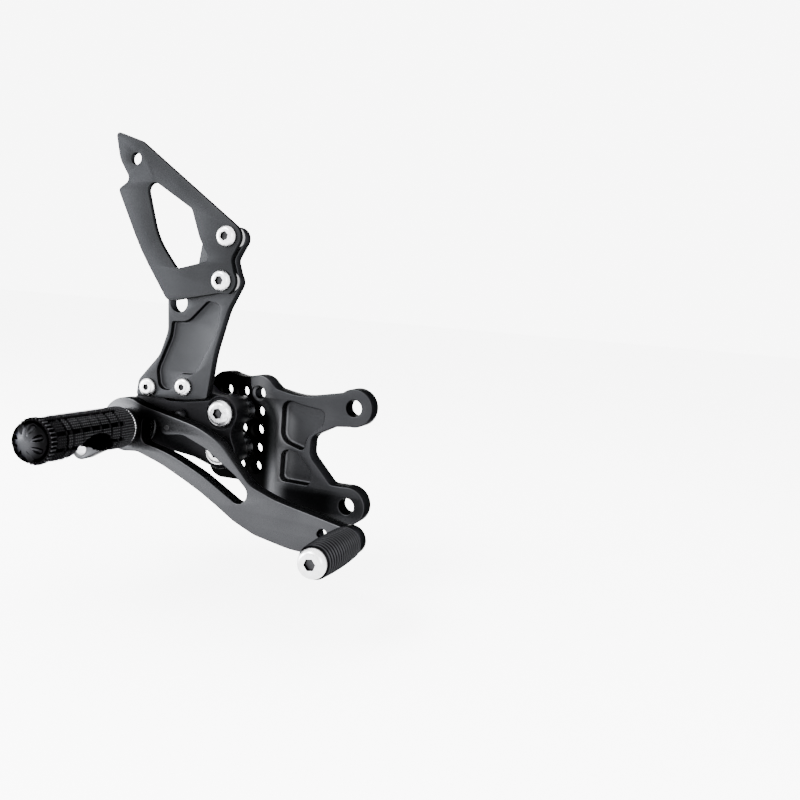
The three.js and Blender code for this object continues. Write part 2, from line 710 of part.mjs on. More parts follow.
// The return spring's free leg lifts the spring pin; its coil ends in a tang in the carrier.
const LEG_Y = LEVER_BACK + 1.3;
const COIL_END_Y = CARRIER_FRONT - 1.3;
const legTop = 75 * DEG;
const COIL_TURN = 1.3 * 360 * DEG;
const springPath = [];
const legTip = new THREE.Vector3(SPRING_PIN[0] + 1.5, LEG_Y, SPRING_PIN[1] - 2.6);
springPath.push(legTip);
const COIL_STEPS = 26;
for (let i = 0; i <= COIL_STEPS; i += 1) {
  const t = i / COIL_STEPS;
  const a = legTop + t * COIL_TURN;
  springPath.push(new THREE.Vector3(
    PEG_AXIS[0] + SPRING_COIL_R * Math.cos(a),
    LEG_Y + (COIL_END_Y - LEG_Y) * t,
    PEG_AXIS[1] + SPRING_COIL_R * Math.sin(a),
  ));
}
const coilEnd = springPath.at(-1);
const tang = new THREE.Vector3(SPRING_TANG[0], COIL_END_Y, SPRING_TANG[1]);
springPath.push(coilEnd.clone().lerp(tang, 0.6).add(new THREE.Vector3(0, 0.3, 0)));
springPath.push(tang.clone().add(new THREE.Vector3(0, 1, 0)));
springPath.push(tang.clone().add(new THREE.Vector3(0, 3.4, 0)));
addPiece('return_spring', wire(springPath, SPRING_WIRE_R), springSteel);

part.updateMatrixWorld(true);
export default part;
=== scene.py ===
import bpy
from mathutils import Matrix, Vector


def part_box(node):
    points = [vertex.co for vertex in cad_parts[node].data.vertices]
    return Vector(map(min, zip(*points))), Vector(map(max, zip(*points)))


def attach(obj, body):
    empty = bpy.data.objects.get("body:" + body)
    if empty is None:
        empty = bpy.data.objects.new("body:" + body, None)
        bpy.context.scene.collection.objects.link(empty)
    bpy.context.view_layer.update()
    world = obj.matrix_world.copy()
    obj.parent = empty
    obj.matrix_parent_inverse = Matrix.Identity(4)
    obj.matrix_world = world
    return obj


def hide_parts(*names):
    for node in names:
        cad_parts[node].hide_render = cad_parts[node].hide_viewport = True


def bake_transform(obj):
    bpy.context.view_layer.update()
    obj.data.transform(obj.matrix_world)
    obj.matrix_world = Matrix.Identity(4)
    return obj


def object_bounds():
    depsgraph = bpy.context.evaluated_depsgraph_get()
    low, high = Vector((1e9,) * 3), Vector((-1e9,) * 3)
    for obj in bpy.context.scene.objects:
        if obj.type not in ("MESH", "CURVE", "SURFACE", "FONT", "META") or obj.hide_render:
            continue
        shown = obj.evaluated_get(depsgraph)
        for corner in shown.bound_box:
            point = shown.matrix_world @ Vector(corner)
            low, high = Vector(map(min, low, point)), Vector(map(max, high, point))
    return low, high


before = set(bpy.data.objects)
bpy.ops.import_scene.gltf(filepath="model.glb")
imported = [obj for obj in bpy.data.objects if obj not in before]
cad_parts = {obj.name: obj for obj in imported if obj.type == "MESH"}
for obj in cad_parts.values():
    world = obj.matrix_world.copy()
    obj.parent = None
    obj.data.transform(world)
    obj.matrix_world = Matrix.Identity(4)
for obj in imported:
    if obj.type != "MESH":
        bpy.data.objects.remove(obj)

# Looks of the brake-side foot peg: smooth, finely bevelled pieces that stand for the packed
# CAD pieces, their materials, the floor, the lights and the camera.
# Outlines are in millimetres in the XZ plane, from the top front hole of the height grid.
import math

import bmesh
import bpy
from mathutils import Euler, Vector
from mathutils.geometry import tessellate_polygon

rest_low, rest_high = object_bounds()

# ---------------------------------------------------------------- placing
PLATE_INNER = 5.0
# The plate's inner face and its highest point fix the outline frame in the row frame.
ORIGIN = Vector((22.0, 5.0, -27.6))


def at(x, y, z):
    return (Vector((x, y, z)) - ORIGIN) / 1000


def inner_of(node):
    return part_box(node)[1].y * 1000 + ORIGIN.y


def outer_of(node):
    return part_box(node)[0].y * 1000 + ORIGIN.y


def axis_of(node):
    low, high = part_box(node)
    middle = (low + high) * 500
    return (middle.x + ORIGIN.x, middle.z + ORIGIN.z)


def radius_of(node):
    low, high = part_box(node)
    return max(high.x - low.x, high.z - low.z) * 500


# ---------------------------------------------------------------- outlines
def corner(x, z, r=0.0):
    return (x, z, r)


def arc(centre, r, start, end, step=5):
    count = max(2, math.ceil(abs(end - start) / step))
    points = []
    for i in range(count + 1):
        a = math.radians(start + (end - start) * i / count)
        points.append((centre[0] + r * math.cos(a), centre[1] + r * math.sin(a), 0))
    return points


def outline(*items, step=5):
    """Closed outline through corners and arcs; every corner with a radius becomes an arc."""
    corners = []
    for item in items:
        corners.extend(item if isinstance(item, list) else [item])
    points = []
    for i, (x, z, r) in enumerate(corners):
        if r == 0:
            points.append((x, z))
            continue
        here = Vector((x, z))
        a = Vector(corners[i - 1][:2]) - here
        b = Vector(corners[(i + 1) % len(corners)][:2]) - here
        reach = 0.49 * min(a.length, b.length)
        a.normalize()
        b.normalize()
        half = math.acos(max(-1.0, min(1.0, a.dot(b)))) / 2
        setback = min(r / math.tan(half), reach)
        radius = setback * math.tan(half)
        middle = here + (a + b).normalized() * (radius / math.sin(half))
        start = here + a * setback
        end = here + b * setback
        first = math.atan2(start.y - middle.y, start.x - middle.x)
        sweep = math.atan2(end.y - middle.y, end.x - middle.x) - first
        sweep = math.atan2(math.sin(sweep), math.cos(sweep))
        count = max(2, math.ceil(abs(math.degrees(sweep)) / step))
        for k in range(count + 1):
            t = first + sweep * k / count
            points.append((middle.x + radius * math.cos(t), middle.y + radius * math.sin(t)))
    return points


def circle(centre, r, count=64):
    points = []
    for i in range(count):
        a = 2 * math.pi * i / count
        points.append((centre[0] + r * math.cos(a), centre[1] + r * math.sin(a)))
    return points


def hexagon(centre, across_flats, turn=0.0):
    r = across_flats / math.sqrt(3)
    points = []
    for i in range(6):
        a = math.radians(60 * i + turn)
        points.append((centre[0] + r * math.cos(a), centre[1] + r * math.sin(a)))
    return points


def area(points):
    total = 0.0
    for (x0, z0), (x1, z1) in zip(points, points[1:] + points[:1]):
        total += x0 * z1 - x1 * z0
    return total / 2


def wound(points, positive):
    """The same points, without repeats, anticlockwise if positive and clockwise if not."""
    kept = []
    for p in points:
        if not kept or math.dist(p, kept[-1]) > 0.01:
            kept.append(p)
    if math.dist(kept[0], kept[-1]) < 0.01:
        kept.pop()
    if (area(kept) > 0) != positive:
        kept.reverse()
    return kept


def inset(points, d):
    """Every point moved by d to the left of the direction of travel."""
    moved = []
    for i, (x, z) in enumerate(points):
        x0, z0 = points[i - 1]
        x1, z1 = points[(i + 1) % len(points)]
        a = Vector((x - x0, z - z0)).normalized()
        b = Vector((x1 - x, z1 - z)).normalized()
        left = Vector((-a.y, a.x)) + Vector((-b.y, b.x))
        left /= max(0.3, left.length_squared / 2)
        moved.append((x + left.x * d, z + left.y * d))
    return moved


# ---------------------------------------------------------------- meshes
def finish_mesh(name, bm, material, angle=35):
    bmesh.ops.recalc_face_normals(bm, faces=bm.faces)
    for face in bm.faces:
        face.smooth = True
    mesh = bpy.data.meshes.new(name)
    bm.to_mesh(mesh)
    bm.free()
    mesh.set_sharp_from_angle(angle=math.radians(angle))
    mesh.materials.append(material)
    obj = bpy.data.objects.new(name, mesh)
    bpy.context.scene.collection.objects.link(obj)
    return obj


def ring(bm, points, y):
    return [bm.verts.new(at(x, y, z)) for x, z in points]


def bridge(bm, lower, upper):
    count = len(lower)
    for i in range(count):
        j = (i + 1) % count
        bm.faces.new((lower[i], lower[j], upper[j], upper[i]))


def cap(bm, rings):
    """Flat face across the first ring, with the other rings as holes."""
    flat = [v for one in rings for v in one]
    polygons = [[v.co.copy() for v in one] for one in rings]
    for triangle in tessellate_polygon(polygons):
        try:
            bm.faces.new([flat[i] for i in triangle])
        except ValueError:
            continue


BEVEL_STEPS = 3


def edge_profile(bevel):
    """(inset, height) from the flat face round to the wall."""
    points = []
    for k in range(BEVEL_STEPS + 1):
        a = math.pi / 2 * k / BEVEL_STEPS
        points.append((bevel * (1 - math.sin(a)), bevel * (1 - math.cos(a))))
    return points


def plate(name, contour, inner, outer, holes=(), pockets=(), bevel=0.4, material=None):
    """Plate between two Y planes with through holes and blind pockets (points, depth, fillet)."""
    bm = bmesh.new()
    profile = edge_profile(bevel)
    front, back = [], []
    loops = [wound(contour, True)] + [wound(h, False) for h in holes]
    for loop in loops:
        rings = [ring(bm, inset(loop, d), outer + h) for d, h in profile]
        rings += [ring(bm, inset(loop, d), inner - h) for d, h in reversed(profile)]
        for lower, upper in zip(rings, rings[1:]):
            bridge(bm, lower, upper)
        front.append(rings[0])
        back.append(rings[-1])
    floors = []
    for points, depth, fillet in pockets:
        loop = wound(points, False)
        rings = [ring(bm, inset(loop, d), outer + h) for d, h in profile]
        for k in range(5):
            a = math.pi / 2 * k / 4
            height = outer + depth - fillet + fillet * math.sin(a)
            rings.append(ring(bm, inset(loop, -fillet * (1 - math.cos(a))), height))
        for lower, upper in zip(rings, rings[1:]):
            bridge(bm, lower, upper)
        front.append(rings[0])
        floors.append(rings[-1])
    cap(bm, front)
    cap(bm, back)
    for floor in floors:
        cap(bm, [floor])
    return finish_mesh(name, bm, material)


def cut_away(obj, tool, angle=35):
    """Take the tool's volume out of the object, then drop the tool."""
    modifier = obj.modifiers.new("cut", "BOOLEAN")
    modifier.operation = "DIFFERENCE"
    modifier.object = tool
    bpy.context.view_layer.update()
    graph = bpy.context.evaluated_depsgraph_get()
    mesh = bpy.data.meshes.new_from_object(obj.evaluated_get(graph))
    obj.modifiers.clear()
    obj.data = mesh
    mesh.set_sharp_from_angle(angle=math.radians(angle))
    bpy.data.objects.remove(tool)


def lathe(name, axis, profile, material, count=72, angle=30):
    """Body turned about an axis along Y from (radius, y) pairs; radius 0 closes on the axis."""
    bm = bmesh.new()
    rings = []
    for r, y in profile:
        if r == 0:
            rings.append([bm.verts.new(at(axis[0], y, axis[1]))])
        else:
            rings.append(ring(bm, circle(axis, r, count), y))
    for lower, upper in zip(rings, rings[1:]):
        if len(lower) == 1:
            for i in range(count):
                bm.faces.new((lower[0], upper[i], upper[(i + 1) % count]))
        elif len(upper) == 1:
            for i in range(count):
                bm.faces.new((lower[i], lower[(i + 1) % count], upper[0]))
        else:
            bridge(bm, lower, upper)
    return finish_mesh(name, bm, material, angle)


def tube(name, axis, outer_r, inner_r, inner, outer, material, chamfer=0.3):
    profile = [(inner_r, outer + 0.2), (inner_r + 0.2, outer), (outer_r - chamfer, outer)]
    profile += [(outer_r, outer + chamfer), (outer_r, inner - chamfer), (outer_r - chamfer, inner)]
    profile += [(inner_r, inner), (inner_r, outer + 0.2)]
    return lathe(name, axis, profile, material)


def round_surface(name, axis, radius_at, y_values, count, material, angle=60, close_ends=True):
    """Surface round an axis along Y whose radius is radius_at(angle, y)."""
    bm = bmesh.new()
    rings = []
    for y in y_values:
        row = []
        for i in range(count):
            a = 2 * math.pi * i / count
            r = radius_at(a, y)
            row.append(bm.verts.new(at(axis[0] + r * math.cos(a), y, axis[1] + r * math.sin(a))))
        rings.append(row)
    for lower, upper in zip(rings, rings[1:]):
        bridge(bm, lower, upper)
    if close_ends:
        cap(bm, [rings[0]])
        cap(bm, [rings[-1]])
    return finish_mesh(name, bm, material, angle)


def button_screw(name, axis, head_r, head_h, hex_size, seat, material, turn=10.0, shank=None):
    """Button head with a hexagon socket; the underside of the head is at seat."""
    bm = bmesh.new()
    top = seat - head_h
    count = 72
    profile = []
    if shank:
        r, tip = shank
        profile += [(0, tip), (r - 0.5, tip), (r, tip - 0.5), (r, seat)]
    profile += [(head_r - 0.25, seat), (head_r, seat - 0.25), (head_r, seat - 0.16 * head_h)]
    flat_r = 0.55 * head_r
    for k in range(1, 11):
        a = math.radians(90 * k / 10)
        r = flat_r + (head_r - flat_r) * math.cos(a) ** 0.8
        y = seat - 0.16 * head_h - 0.84 * head_h * math.sin(a)
        profile.append((r, y))
    rings = []
    for r, y in profile:
        rings.append([bm.verts.new(at(axis[0], y, axis[1]))] if r == 0 else ring(bm, circle(axis, r, count), y))
    for lower, upper in zip(rings, rings[1:]):
        if len(lower) == 1:
            for i in range(count):
                bm.faces.new((lower[0], upper[i], upper[(i + 1) % count]))
        else:
            bridge(bm, lower, upper)
    if not shank:
        cap(bm, [rings[0]])
    mouth = ring(bm, hexagon(axis, hex_size + 0.3, turn), top)
    edge = ring(bm, hexagon(axis, hex_size, turn), top + 0.15)
    floor = ring(bm, hexagon(axis, hex_size, turn), top + 0.62 * head_h)
    cap(bm, [rings[-1], mouth])
    bridge(bm, mouth, edge)
    bridge(bm, edge, floor)
    bottom = bm.verts.new(at(axis[0], top + 0.78 * head_h, axis[1]))
    for i in range(6):
        bm.faces.new((floor[i], floor[(i + 1) % 6], bottom))
    # Painted shade: a dark lining just inside the hexagon socket darkens it.
    socket_bm = bmesh.new()
    lining = 0.04
    levels = [top + 0.1, top + 0.62 * head_h - lining]
    walls = [ring(socket_bm, hexagon(axis, hex_size - 2 * lining, turn), y) for y in levels]
    bridge(socket_bm, walls[0], walls[1])
    end = socket_bm.verts.new(at(axis[0], top + 0.78 * head_h - lining, axis[1]))
    for i in range(6):
        socket_bm.faces.new((walls[1][i], walls[1][(i + 1) % 6], end))
    socket = finish_mesh(name + "_socket", socket_bm, socket_painted_shade, 32)
    return finish_mesh(name, bm, material, 32), socket


# ---------------------------------------------------------------- materials
def node_tree(name):
    material = bpy.data.materials.new(name)
    material.use_nodes = True
    tree = material.node_tree
    return material, tree, tree.nodes["Principled BSDF"]


def mix_colour(tree, factor, a, b):
    node = tree.nodes.new("ShaderNodeMix")
    node.data_type = "RGBA"
    tree.links.new(factor, node.inputs["Factor"])
    for socket, value in ((node.inputs[6], a), (node.inputs[7], b)):
        if isinstance(value, tuple):
            socket.default_value = (*value, 1)
        else:
            tree.links.new(value, socket)
    return node.outputs[2]


def ramp(tree, source, low, high, from_value=0.0, to_value=1.0):
    node = tree.nodes.new("ShaderNodeMapRange")
    node.interpolation_type = "SMOOTHSTEP"
    node.inputs["From Min"].default_value = low
    node.inputs["From Max"].default_value = high
    node.inputs["To Min"].default_value = from_value
    node.inputs["To Max"].default_value = to_value
    tree.links.new(source, node.inputs["Value"])
    return node.outputs["Result"]


def noise(tree, vector, scale, detail=3.0, roughness=0.5):
    node = tree.nodes.new("ShaderNodeTexNoise")
    node.inputs["Scale"].default_value = scale
    node.inputs["Detail"].default_value = detail
    node.inputs["Roughness"].default_value = roughness
    tree.links.new(vector, node.inputs["Vector"])
    return node.outputs["Fac"]


def dark_metal(name, face, rough=0.4, grain=0.15, paint_light_and_shade=None, glance=0.15):
    """Bead-blasted, black anodised aluminium: a dark metal that stays black at a glancing angle.
    A shading function, if given, paints light and shade into the colour along the piece."""
    material, tree, bsdf = node_tree(name)
    links = tree.links
    place = tree.nodes.new("ShaderNodeTexCoord").outputs["Object"]
    patches = noise(tree, place, 45.0, 2.0)
    colour = mix_colour(tree, ramp(tree, patches, 0.3, 0.7), face, tuple(c * 1.25 for c in face))
    # Painted light and shade from the shading function, if one is given.
    if paint_light_and_shade:
        colour = paint_light_and_shade(tree, place, colour)
    links.new(colour, bsdf.inputs["Base Color"])
    bsdf.inputs["Metallic"].default_value = 1.0
    bsdf.inputs["Specular Tint"].default_value = (glance, glance, glance, 1)
    fine = noise(tree, place, 2600.0, 2.0)
    links.new(ramp(tree, fine, 0.25, 0.75, rough - 0.06, rough + 0.08), bsdf.inputs["Roughness"])
    bump = tree.nodes.new("ShaderNodeBump")
    bump.inputs["Strength"].default_value = grain
    bump.inputs["Distance"].default_value = 0.00008
    links.new(fine, bump.inputs["Height"])
    links.new(bump.outputs["Normal"], bsdf.inputs["Normal"])
    return material


def valley_painted_shade(axis, low, high):
    """Painted shade: valleys painted near black and crests lighter, by the distance from an axis along Y."""
    def paint_light_and_shade(tree, place, colour):
        centre = at(axis[0], 0, axis[1])
        offset = tree.nodes.new("ShaderNodeVectorMath")
        offset.operation = "SUBTRACT"
        tree.links.new(place, offset.inputs[0])
        offset.inputs[1].default_value = centre
        flat = tree.nodes.new("ShaderNodeVectorMath")
        flat.operation = "MULTIPLY"
        tree.links.new(offset.outputs[0], flat.inputs[0])
        flat.inputs[1].default_value = (1, 0, 1)
        distance = tree.nodes.new("ShaderNodeVectorMath")
        distance.operation = "LENGTH"
        tree.links.new(flat.outputs[0], distance.inputs[0])
        height = ramp(tree, distance.outputs["Value"], low / 1000, high / 1000)
        # Painted shade: the valleys are painted near black, and the crests keep the colour.
        return mix_colour(tree, height, (0.0013, 0.0013, 0.0014), colour)
    return paint_light_and_shade


def multiply(tree, a, b):
    node = tree.nodes.new("ShaderNodeMath")
    node.operation = "MULTIPLY"
    tree.links.new(a, node.inputs[0])
    tree.links.new(b, node.inputs[1])
    return node.outputs[0]


def rib_painted_shade(start, pitch):
    """Painted shade: valleys painted near black and crests lighter, along ribs that repeat in Y."""
    def paint_light_and_shade(tree, place, colour):
        where = tree.nodes.new("ShaderNodeSeparateXYZ")
        tree.links.new(place, where.inputs[0])
        phase = tree.nodes.new("ShaderNodeMath")
        phase.operation = "MULTIPLY_ADD"
        tree.links.new(where.outputs["Y"], phase.inputs[0])
        phase.inputs[1].default_value = 2 * math.pi / (pitch / 1000)
        phase.inputs[2].default_value = -2 * math.pi * at(0, start, 0).y / (pitch / 1000)
        wave = tree.nodes.new("ShaderNodeMath")
        wave.operation = "COSINE"
        tree.links.new(phase.outputs[0], wave.inputs[0])
        # Painted shade: the rib valleys are painted near black, and the crests keep the colour.
        return mix_colour(tree, ramp(tree, wave.outputs[0], 0.5, -0.9), (0.0006, 0.0006, 0.0007), colour)
    return paint_light_and_shade


def lever_painted_light_and_shade(tree, place, colour):
    """Painted light and shade: painted lighter towards the hub, but painted nearly black, as shade from the peg, at
    the root of the upper arm in front of it.
    """
    where = tree.nodes.new("ShaderNodeSeparateXYZ")
    tree.links.new(place, where.inputs[0])
    after_hub = ramp(tree, where.outputs["X"], -0.078, -0.071)
    before_end = ramp(tree, where.outputs["X"], -0.04, -0.066)
    upper = ramp(tree, where.outputs["Z"], -0.006, 0.004)
    # Painted shade from the peg on the root of the upper arm.
    painted_peg_shade = multiply(tree, multiply(tree, after_hub, before_end), upper)
    # Painted light: the lever is painted lighter towards the hub.
    painted_hub_light = mix_colour(tree, ramp(tree, where.outputs["X"], -0.06, 0.02), (0.023, 0.0235, 0.025), colour)
    return mix_colour(tree, painted_peg_shade, painted_hub_light, (0.0012, 0.0012, 0.0013))


def grid_painted_light_and_shade(tree, place, colour):
    """Painted light and shade: the recessed height grid is painted much darker than the arms in front of it, with a
    painted highlight band along the ramp.
    """
    where = tree.nodes.new("ShaderNodeSeparateXYZ")
    tree.links.new(place, where.inputs[0])
    # Above the front hole of the grid the painted lighter tone reaches back over it.
    shift = ramp(tree, where.outputs["Z"], 0.013, 0.031, 0.0, 0.014)
    along = tree.nodes.new("ShaderNodeMath")
    along.operation = "ADD"
    tree.links.new(where.outputs["X"], along.inputs[0])
    tree.links.new(shift, along.inputs[1])
    beyond = along.outputs[0]
    # Painted highlight: a lighter band along the top of the ramp.
    painted_band_highlight = multiply(tree, ramp(tree, beyond, -0.016, -0.011), ramp(tree, beyond, 0.001, -0.007))
    painted_light_colour = mix_colour(tree, painted_band_highlight, colour, (0.026, 0.0265, 0.028))
    # Painted shade: the lower arm is painted nearly black under its pocket.
    start = ramp(tree, where.outputs["X"], -0.012, 0.0)
    end = ramp(tree, where.outputs["X"], 0.034, 0.020)
    painted_shade_under_arm = multiply(tree, multiply(tree, start, end), ramp(tree, where.outputs["Z"], -0.0165, -0.0225))
    painted_light_colour = mix_colour(tree, painted_shade_under_arm, painted_light_colour, (0.0012, 0.0012, 0.0013))
    # Painted shade: the recessed grid is painted near black.
    shown = mix_colour(tree, ramp(tree, beyond, -0.017, -0.011), (0.0006, 0.0006, 0.0006), painted_light_colour)
    # Faces turned to the back keep the plain colour, without the painted light and shade.
    split = tree.nodes.new("ShaderNodeSeparateXYZ")
    tree.links.new(tree.nodes.new("ShaderNodeNewGeometry").outputs["Normal"], split.inputs[0])
    return mix_colour(tree, ramp(tree, split.outputs["Y"], 0.3, 0.8), shown, colour)


def bright_steel(name, colour, rough=0.2, mottle=0.25, painted_wall_shading=0.12):
    """Bright stainless steel with faint turning marks; walls along the screw's axis get painted shade, their colour
    scaled by the wall factor, which paints them lighter where it is above 1.
    """
    material, tree, bsdf = node_tree(name)
    links = tree.links
    place = tree.nodes.new("ShaderNodeTexCoord").outputs["Object"]
    blot = noise(tree, place, 420.0, 3.0, 0.6)
    darker = tuple(c * (1 - mottle) for c in colour)
    clean = mix_colour(tree, ramp(tree, blot, 0.35, 0.62), darker, colour)
    split = tree.nodes.new("ShaderNodeSeparateXYZ")
    links.new(tree.nodes.new("ShaderNodeNewGeometry").outputs["Normal"], split.inputs[0])
    facing = tree.nodes.new("ShaderNodeMath")
    facing.operation = "ABSOLUTE"
    links.new(split.outputs["Y"], facing.inputs[0])
    # Painted light and shade on walls along the axis: the wall factor scales their colour.
    painted_wall_mask = ramp(tree, facing.outputs[0], 0.02, 0.2)
    links.new(mix_colour(tree, painted_wall_mask, tuple(painted_wall_shading * c for c in colour), clean), bsdf.inputs["Base Color"])
    bsdf.inputs["Metallic"].default_value = 1.0
    fine = noise(tree, place, 1800.0, 2.0)
    links.new(ramp(tree, fine, 0.3, 0.7, rough, rough + 0.16), bsdf.inputs["Roughness"])
    bump = tree.nodes.new("ShaderNodeBump")
    bump.inputs["Strength"].default_value = 0.12
    bump.inputs["Distance"].default_value = 0.00005
    links.new(blot, bump.inputs["Height"])
    links.new(bump.outputs["Normal"], bsdf.inputs["Normal"])
    return material


PEG = axis_of("peg_spindle")
TOE = axis_of("toe_peg_screw")
# The plate, lever, grip, toe peg and cap colours carry painted light and shade from their shading functions.
plate_black = dark_metal("plate_black", (0.0085, 0.0087, 0.0094), paint_light_and_shade=grid_painted_light_and_shade)
guard_black = dark_metal("guard_black", (0.0066, 0.0068, 0.0073))
bracket_black = dark_metal("bracket_black", (0.0105, 0.0108, 0.0116))
carrier_black = dark_metal("carrier_black", (0.004, 0.004, 0.0044), glance=0.5)
lever_black = dark_metal("lever_black", (0.015, 0.0153, 0.0164), rough=0.3, paint_light_and_shade=lever_painted_light_and_shade)
grip_black = dark_metal("grip_black", (0.016, 0.0162, 0.017), 0.24, 0.1, valley_painted_shade(PEG, 10.35, 11.0))
TOE_BASE = inner_of("toe_peg_sleeve")
TOE_PITCH = 2.4
toe_black = dark_metal("toe_black", (0.012, 0.0122, 0.013), 0.26, 0.1, rib_painted_shade(TOE_BASE, TOE_PITCH))


def cap_painted_light_and_shade(tree, place, colour):
    """Painted light and shade: the cap is painted lightest at its middle and falls to painted black at the rim."""
    return valley_painted_shade(PEG, 8.8, 2.0)(tree, place, colour)


cap_black = dark_metal("cap_black", (0.014, 0.0143, 0.0155), 0.2, 0.05, cap_painted_light_and_shade)
# Painted shade: the dark material of the socket linings.
socket_painted_shade = dark_metal("socket_painted_shade", (0.016, 0.016, 0.017), rough=0.35)
spacer_black = dark_metal("spacer_black", (0.03, 0.031, 0.033), rough=0.3, glance=0.5)
# Screws, bolts and rings get the default painted wall shade, at 0.12 of the colour.
screw_steel = bright_steel("screw_steel", (0.42, 0.42, 0.43), 0.2, 0.15)
bolt_steel = bright_steel("bolt_steel", (0.38, 0.38, 0.39), 0.24, 0.4)
ring_steel = bright_steel("ring_steel", (0.34, 0.34, 0.35), 0.26, 0.15)
# Painted highlight: the bush's walls are painted nine times lighter than its faces.
bush_steel = bright_steel("bush_steel", (0.06, 0.06, 0.062), 0.3, 0.2, 9.0)
# Painted shade: the guard spacers' walls are painted at half their colour.
spacer_steel = bright_steel("spacer_steel", (0.16, 0.16, 0.165), 0.3, 0.2, 0.5)
dark_steel = dark_metal("dark_steel", (0.01, 0.01, 0.0105), rough=0.34)
bearing_bronze = bright_steel("bearing_bronze", (0.08, 0.052, 0.024), 0.34, 0.3)

ROOT = "root"
LEVER = "lever"


def stand_for(obj, body, slot, *nodes):
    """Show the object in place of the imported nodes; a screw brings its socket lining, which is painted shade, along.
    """
    extras = []
    if isinstance(obj, tuple):
        obj, *extras = obj
    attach(obj, body)
    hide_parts(*nodes)
    for extra in extras:
        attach(extra, body)


# ---------------------------------------------------------------- mount plate
PITCH = 10.0
FRAME_UPPER = (55.4, -1.8)
FRAME_LOWER = (55.0, -53.4)
plate_outline = outline(
    arc((-20, 0), 10, 180, 65),
    corner(-10.5, 8, 6),
    arc((0, 0), 9.8, 115, 38),
    corner(10.6, 3.6, 5),
    corner(25, 0.8, 60),
    arc(FRAME_UPPER, 10, 134, -97),
    corner(45.5, -12.6, 9),
    corner(32.2, -19.6, 6),
    corner(32.2, -29.6, 6),
    corner(45, -43.4, 4),
    arc(FRAME_LOWER, 10.2, 100, -112),
    corner(25, -58.3, 60),
    corner(-3, -48.6, 15),
    arc((-20, -40), 8.7, -90, -180),
    corner(-28, -20, 30),
)
upper_pocket = outline(
    corner(14.7, -0.8, 4.5),
    corner(26, -3.4, 10),
    corner(40, -5, 3.5),
    corner(38.6, -13.4, 4),
    corner(30.2, -20, 8),
    corner(28.4, -27.6, 2),
    corner(14.8, -23.6, 7),
)
lower_pocket = outline(
    corner(15.7, -27.6, 5),
    corner(25, -28.4, 6),
    corner(34.4, -38.5, 8),
    corner(33.6, -45.6, 3),
    corner(15.6, -45.2, 3),
)
GRID = [(-PITCH * i, -PITCH * j) for i in range(3) for j in range(5)]
GRID_HOLE_R = 3.1
GRID_MOUTH_R = 4.25
GRID_FLOOR = -3.4
plate_holes = [circle(centre, GRID_HOLE_R, 48) for centre in GRID]
plate_holes += [circle(FRAME_UPPER, 4.3), circle(FRAME_LOWER, 4.3)]
PLATE_OUTER = outer_of("mount_plate")
plate_obj = plate(
    "mount_plate_body", plate_outline, PLATE_INNER, PLATE_OUTER, plate_holes,
    [(upper_pocket, 6, 1.3), (lower_pocket, 6, 1.3)], 0.6, plate_black,
)


def smooth_path(points, count=6):
    """Smooth curve through the points."""
    path = []
    for i in range(len(points) - 1):
        p0 = Vector(points[max(0, i - 1)])
        p1 = Vector(points[i])
        p2 = Vector(points[i + 1])
        p3 = Vector(points[min(len(points) - 1, i + 2)])
        for k in range(count):
            t = k / count
            path.append(0.5 * (2 * p1 + (p2 - p0) * t + (2 * p0 - 5 * p1 + 4 * p2 - p3) * t ** 2
                               + (3 * p1 - 3 * p2 + p3 - p0) * t ** 3))
    path.append(Vector(points[-1]))
    return path


# The grid lies in a shallow recess that runs out in a wide ramp; one curve is its top, one its foot.
ramp_top = smooth_path([(-5, 14), (-4.8, 8), (-4, 3), (-1, -0.5), (5, -2.2), (9, -6), (12, -13), (13, -22), (13, -66)])
ramp_foot = smooth_path([(-8.5, 14), (-8.2, 8), (-7, 1), (-3.5, -4), (1, -6), (3.6, -9), (4.5, -14), (4.5, -22), (4.5, -66)])
bm = bmesh.new()
RAMP_STEPS = 8
rings = []
for k in range(-1, RAMP_STEPS + 1):
    share = max(0, k) / RAMP_STEPS
    depth = PLATE_OUTER - 2 if k == -1 else PLATE_OUTER + (GRID_FLOOR - PLATE_OUTER) * (1 - (1 - share) ** 2)
    edge = [top + (foot - top) * share for top, foot in zip(ramp_top, ramp_foot)]
    rings.append(ring(bm, [(-45, -66), (-45, 14)] + [tuple(p) for p in edge], depth))
for lower, upper in zip(rings, rings[1:]):
    bridge(bm, lower, upper)
cap(bm, [rings[0]])
cap(bm, [rings[-1]])
cut_away(plate_obj, finish_mesh("recess_tool", bm, plate_black))
for centre in GRID:
    mouth = [(0, PLATE_OUTER - 2), (GRID_MOUTH_R, PLATE_OUTER - 2), (GRID_MOUTH_R, GRID_FLOOR + 0.1),
             (GRID_HOLE_R - 0.1, GRID_FLOOR + 1.0), (0, GRID_FLOOR + 1.0)]
    cut_away(plate_obj, lathe("mouth_tool", centre, mouth, plate_black, 48))
stand_for(plate_obj, ROOT, "black_anodised", "mount_plate")

# ---------------------------------------------------------------- peg carrier
BOLTS = {"upper": (-10.0, -10.0), "lower": (-10.0, -30.0)}
REAR_SCREW = axis_of("bracket_screw_rear")
FRONT_SCREW = axis_of("bracket_screw_front")
CARRIER_FRONT = outer_of("peg_carrier")
CARRIER_BACK = inner_of("peg_carrier")
EAR_FRONT = inner_of("heel_bracket")
LOBE_R = 9.3
carrier_outline = outline(
    arc(BOLTS["upper"], LOBE_R, 133, -36),
    corner(-4, -20, 5),
    arc(BOLTS["lower"], LOBE_R, 36, -120),
    corner(-25, -34.8, 30),
    corner(-44, -32.6, 30),
    arc(PEG, 13.4, -60, -235),
    arc(REAR_SCREW, 6.3, 205, 60),
    corner(-45, -7, 6),
    corner(-31, -6.1, 30),
    corner(-17.2, -3.8, 2),
)
counterbores = [(circle(centre, 8.3), 0.8, 0.15) for centre in BOLTS.values()]
